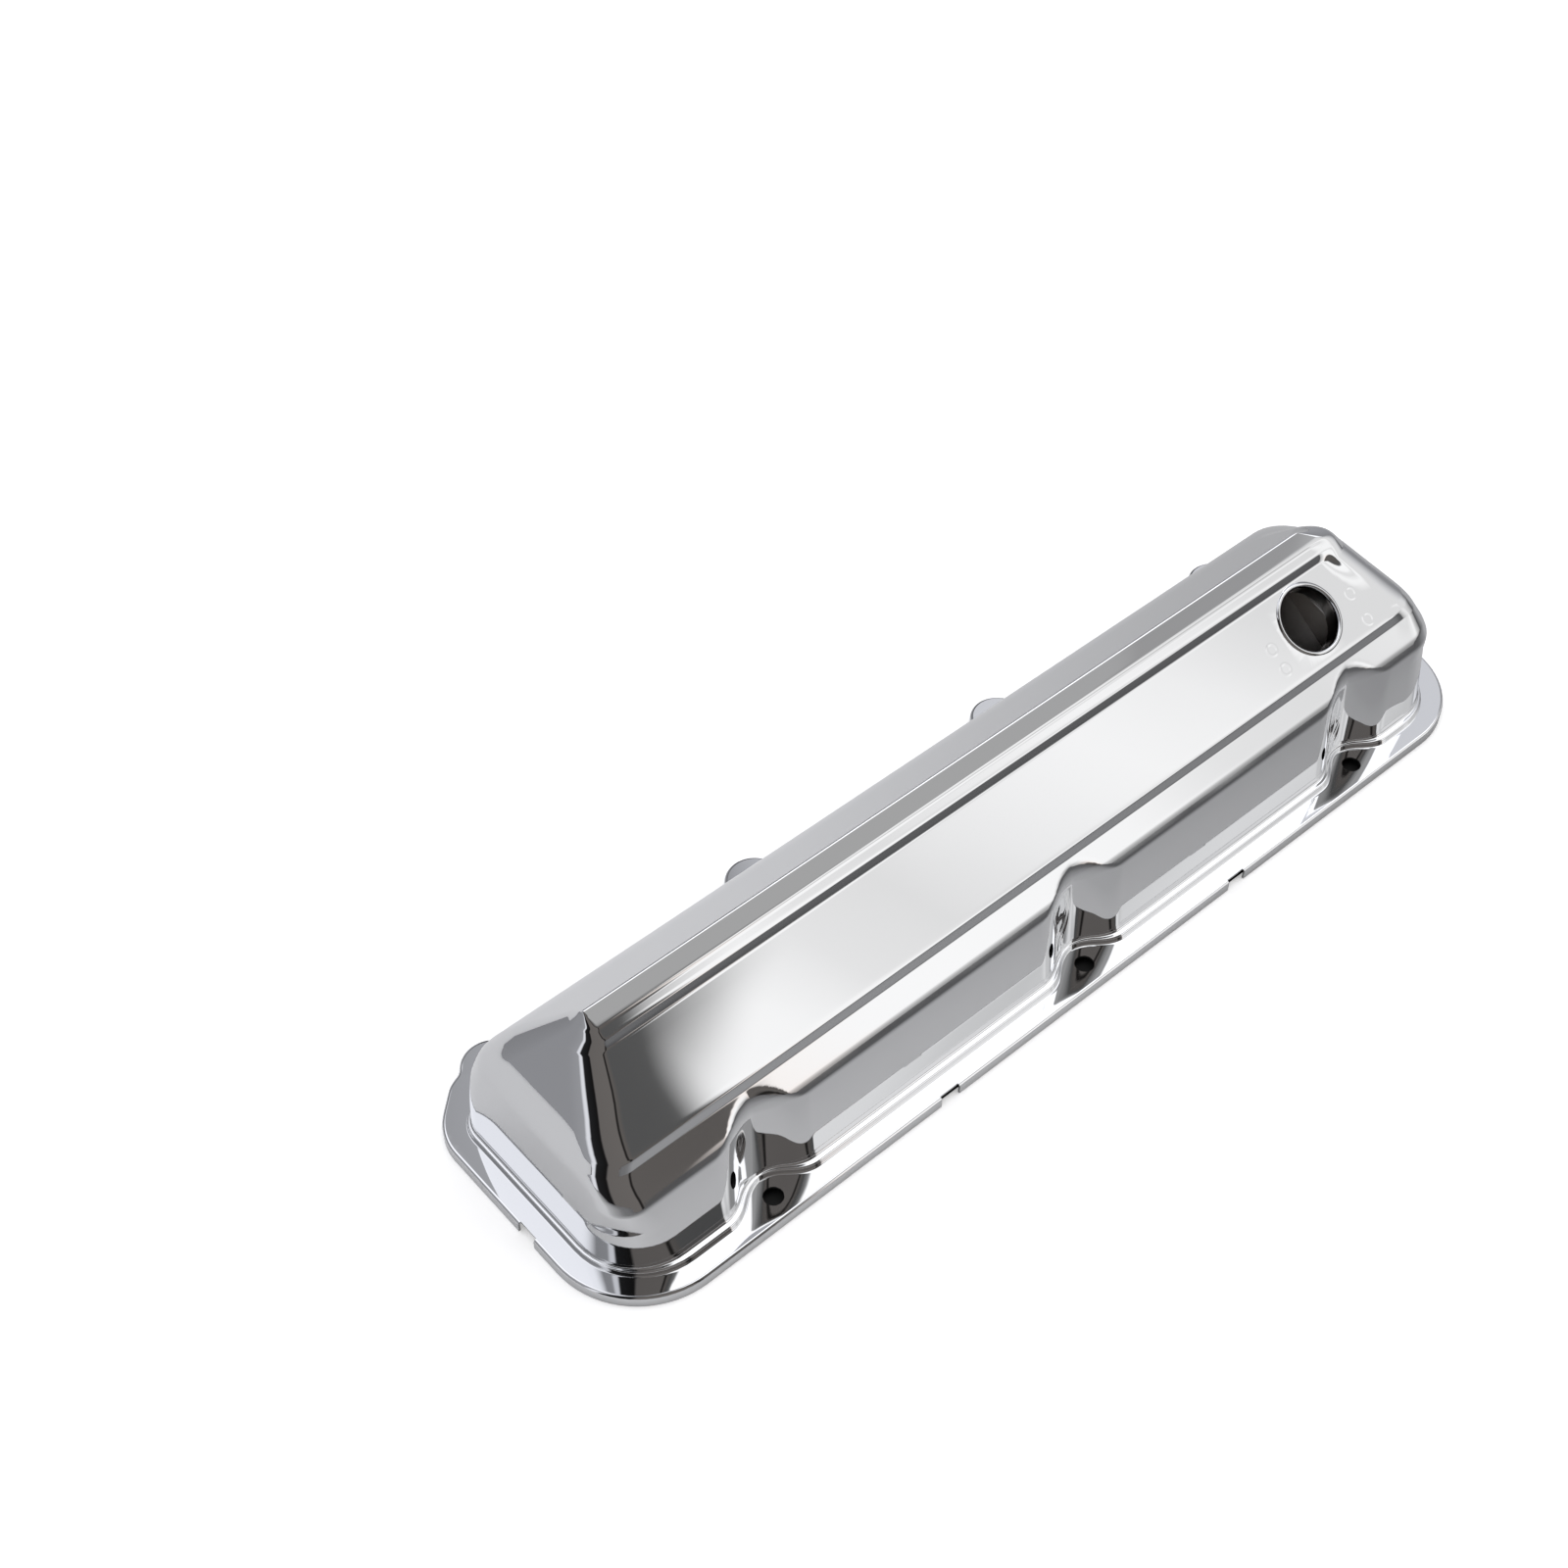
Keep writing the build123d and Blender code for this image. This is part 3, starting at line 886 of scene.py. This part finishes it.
bpy.context.scene.collection.objects.link(baffle)
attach(baffle, "root")
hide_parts("oil_baffle")

# Floor
FLOOR_HALF = 6.0
signs = ((-1, -1), (1, -1), (1, 1), (-1, 1))
floor_mesh = bpy.data.meshes.new("floor")
floor_mesh.from_pydata([(x * FLOOR_HALF, y * FLOOR_HALF, 0) for x, y in signs], [], [(0, 1, 2, 3)])
floor = bpy.data.objects.new("floor", floor_mesh)
bpy.context.scene.collection.objects.link(floor)
floor_material, t, shader = nodes_of(
    "pale_floor", Roughness=0.9, Specular_IOR_Level=0.0, Emission_Color=(1.0, 1.0, 1.0, 1)
)
seen = add(t, "ShaderNodeLightPath").outputs["Is Camera Ray"]
place = add(t, "ShaderNodeSeparateXYZ")
t.links.new(add(t, "ShaderNodeTexCoord").outputs["Object"], place.inputs["Vector"])
floor_x, floor_y = place.outputs["X"], place.outputs["Y"]
# The camera sees a floor that glows a little, but not under the cover, where the floor is a painted
# shadow
painted_shadow_mask = product(
    t,
    math_node(t, "LESS_THAN", math_node(t, "ABSOLUTE", floor_x), 0.226),
    math_node(t, "GREATER_THAN", floor_y, -0.0725),
    math_node(t, "LESS_THAN", floor_y, 0.0665),
)
open_floor = math_node(t, "SUBTRACT", 1.0, painted_shadow_mask)
t.links.new(product(t, seen, open_floor, 0.42), shader.inputs["Emission Strength"])
# Painted shade for reflections: they see a floor that gets darker away from the straight side and
# to the filler end
SHADE_REACH = 0.5
shade = add(t, "ShaderNodeValToRGB")
reach = map_range(t, floor_y, i_From_Min=-SHADE_REACH, i_From_Max=0.0)
t.links.new(reach, shade.inputs["Fac"])
stops = shade.color_ramp.elements
stops[0].position, stops[0].color = 0.0, (0.26, 0.26, 0.26, 1)
stops[1].position, stops[1].color = 0.86, (0.86, 0.86, 0.86, 1)
for y, value in ((-0.34, 0.3), (-0.26, 0.37), (-0.16, 0.48), (-0.10, 0.62)):
    stops.new((y + SHADE_REACH) / SHADE_REACH).color = (value, value, value, 1)
side_dim = smooth_range(t, floor_x, -0.15, 0.35, i_To_Min=1.0, i_To_Max=0.68)
painted_floor_shade = math_node(t, "MULTIPLY", shade.outputs["Color"], side_dim)
plain = math_node(t, "MAXIMUM", math_node(t, "MULTIPLY", seen, 0.86), painted_floor_shade)
# Under the cover the floor is painted almost black: a painted shadow seen through the bolt holes
# and notches
albedo = math_node(t, "MULTIPLY", plain, math_node(t, "MAXIMUM", open_floor, 0.04))
t.links.new(albedo, shader.inputs["Base Color"])
floor_mesh.materials.append(floor_material)

# World: a studio drawn by direction, for the reflections
world = bpy.data.worlds.new("studio")
bpy.context.scene.world = world
world.use_nodes = True
t = world.node_tree
background = t.nodes["Background"]
direction = add(t, "ShaderNodeTexCoord").outputs["Generated"]


def toward(az, el):
    """Direction from the cover: azimuth from the straight side towards the filler end."""
    az, el = math.radians(az), math.radians(el)
    return (math.sin(az) * math.cos(el), -math.cos(az) * math.cos(el), math.sin(el))


def step_along(axis, low, high, level=1.0):
    """Smooth step to a level where the direction's part along an axis goes from low to high."""
    dot = add(t, "ShaderNodeVectorMath", operation="DOT_PRODUCT")
    t.links.new(direction, dot.inputs[0])
    dot.inputs[1].default_value = axis
    return smooth_range(t, dot.outputs["Value"], low, high, i_To_Max=level)


def lobe(az, el, inner, outer, strength):
    """Patch of sky that is bright within the inner angle and fades out at the outer angle."""
    axis = Vector(toward(az, el)).normalized()
    low, high = math.cos(math.radians(outer)), math.cos(math.radians(inner))
    return step_along(axis, low, high, strength)


def side_of(az0, el0, az1, el1, soft, flip=1.0):
    """One on the right of the great circle through two directions, with a soft edge in degrees."""
    axis = Vector(toward(az1, el1)).cross(Vector(toward(az0, el0))).normalized() * flip
    half = math.sin(math.radians(soft / 2))
    return step_along(axis, -half, half)


def above(el0, el1):
    """Zero below the first elevation, one above the second."""
    return step_along((0, 0, 1), math.sin(math.radians(el0)), math.sin(math.radians(el1)))


# Azimuth as a ramp's place: 0.5 on the straight side, 0 and 1 behind the cover
side = add(t, "ShaderNodeSeparateXYZ")
t.links.new(direction, side.inputs["Vector"])
turn = math_node(t, "ARCTAN2", side.outputs["X"], math_node(t, "MULTIPLY", side.outputs["Y"], -1.0))
turn = math_node(t, "ADD", math_node(t, "DIVIDE", turn, 2 * math.pi), 0.5)


def around(stops):
    """Colour by azimuth in degrees."""
    ramp = add(t, "ShaderNodeValToRGB")
    t.links.new(turn, ramp.inputs["Fac"])
    parts = ramp.color_ramp.elements
    parts[0].position, parts[0].color = 0.0, stops[0][1]
    parts[1].position, parts[1].color = 1.0, stops[-1][1]
    for az, colour in stops[1:-1]:
        parts.new(az / 360 + 0.5).color = colour
    return ramp.outputs["Color"]


def level_around(stops):
    """Level by azimuth in degrees."""
    return around([(az, (v, v, v, 1)) for az, v in stops])


# Tall white panel on the straight side, seen in the roof and the walls
panel = product(
    t,
    side_of(21.0, 12.0, 29.6, 47.0, 1.5),
    side_of(30.0, 47.6, 60.0, 48.5, 3.5),
    side_of(84.0, 0.0, 84.0, 60.0, 38.0, -1.0),
    above(-8.0, 11.0),
)
glare = [(-180, 1.1), (29, 1.3), (34, 1.26), (36.5, 1.07), (39.5, 1.0), (42, 1.12), (46, 1.26)]
glare += [(49, 1.2), (52, 0.98), (60, 0.98), (180, 0.9)]
lights = [math_node(t, "MULTIPLY", panel, level_around(glare))]
# Three soft patches above, and the dim room around
lights += [lobe(62, 56, 8, 24, 0.42), lobe(122, 42, 8, 22, 0.85), lobe(-158, 60, 12, 30, 1.45)]
room = [(-180, 0.30), (-140, 0.34), (-112, 0.38), (-90, 0.42), (-85, 1.0), (-79, 1.0)]
room += [(-75, 0.02), (-50, 0.01), (-45, 0.17), (7, 0.18), (10, 0.02), (13, 0.02), (16, 0.15)]
room += [(27, 0.11), (34, 0.12), (90, 0.34), (110, 0.4), (136, 0.45), (140, 0.02), (155, 0.02)]
room += [(160, 0.3), (180, 0.3)]
lights.append(level_around(room))
# Ceiling beyond the panel, and the bright strip that the flange shows by way of the wall
ceiling = level_around(((-180, 0), (36, 0), (46, 0.5), (150, 0.5), (170, 0.3), (180, 0)))
lights.append(math_node(t, "MULTIPLY", above(48.5, 52.0), ceiling))
strip_edge = side_of(73.0, 48.5, 55.0, 66.0, 4.0)
lights.append(math_node(t, "MULTIPLY", strip_edge, lobe(76, 60, 15, 27, 1.9)))
# The camera itself sees an almost white backdrop
camera_ray = add(t, "ShaderNodeLightPath").outputs["Is Camera Ray"]
lights.append(math_node(t, "MULTIPLY", camera_ray, 0.96))
brightest = lights[0]
for level in lights[1:]:
    brightest = math_node(t, "MAXIMUM", brightest, level)
t.links.new(brightest, background.inputs["Strength"])
lavender, brown, white = (0.94, 0.95, 1.0, 1), (1.0, 0.92, 0.87, 1), (1.0, 0.995, 0.99, 1)
tints = [(-180, lavender), (-60, lavender), (-45, brown), (21, brown), (25, white), (60, white)]
tints += [(100, lavender), (180, lavender)]
t.links.new(around(tints), background.inputs["Color"])


def area(name, place, target, width, height, radiance, mirrored=True):
    """Rectangular lamp that faces a target."""
    light = bpy.data.lights.new(name, "AREA")
    light.shape = "RECTANGLE"
    light.size, light.size_y = width, height
    light.energy = radiance * math.pi * width * height
    lamp = bpy.data.objects.new(name, light)
    lamp.location = place
    lamp.rotation_euler = (Vector(target) - Vector(place)).to_track_quat("-Z", "Y").to_euler()
    lamp.visible_glossy = mirrored
    bpy.context.scene.collection.objects.link(lamp)


area("overhead_fill", (-0.3, 0.2, 2.6), (0, 0, 0), 2.6, 2.6, 1.05, mirrored=False)
area("back_strip", (0.95, 0.75, 1.75), (0, 0, 0.05), 1.6, 0.08, 1.2)

# Camera of the photo
camera_data = bpy.data.cameras.new("camera")
camera_data.lens = 54.0
camera_data.sensor_width = 36.0
camera = bpy.data.objects.new("camera", camera_data)
bpy.context.scene.collection.objects.link(camera)
bpy.context.scene.camera = camera
right = Vector((0.75490, -0.65583, 0.00231))
up = Vector((0.48918, 0.56542, 0.66408))
back = Vector((-0.43684, -0.50019, 0.74765))
turned = Matrix((right, up, back)).transposed().to_4x4()
camera.matrix_world = Matrix.Translation((-0.4935, -0.4372, 0.8021)) @ turned

bpy.context.scene.view_settings.view_transform = "Standard"
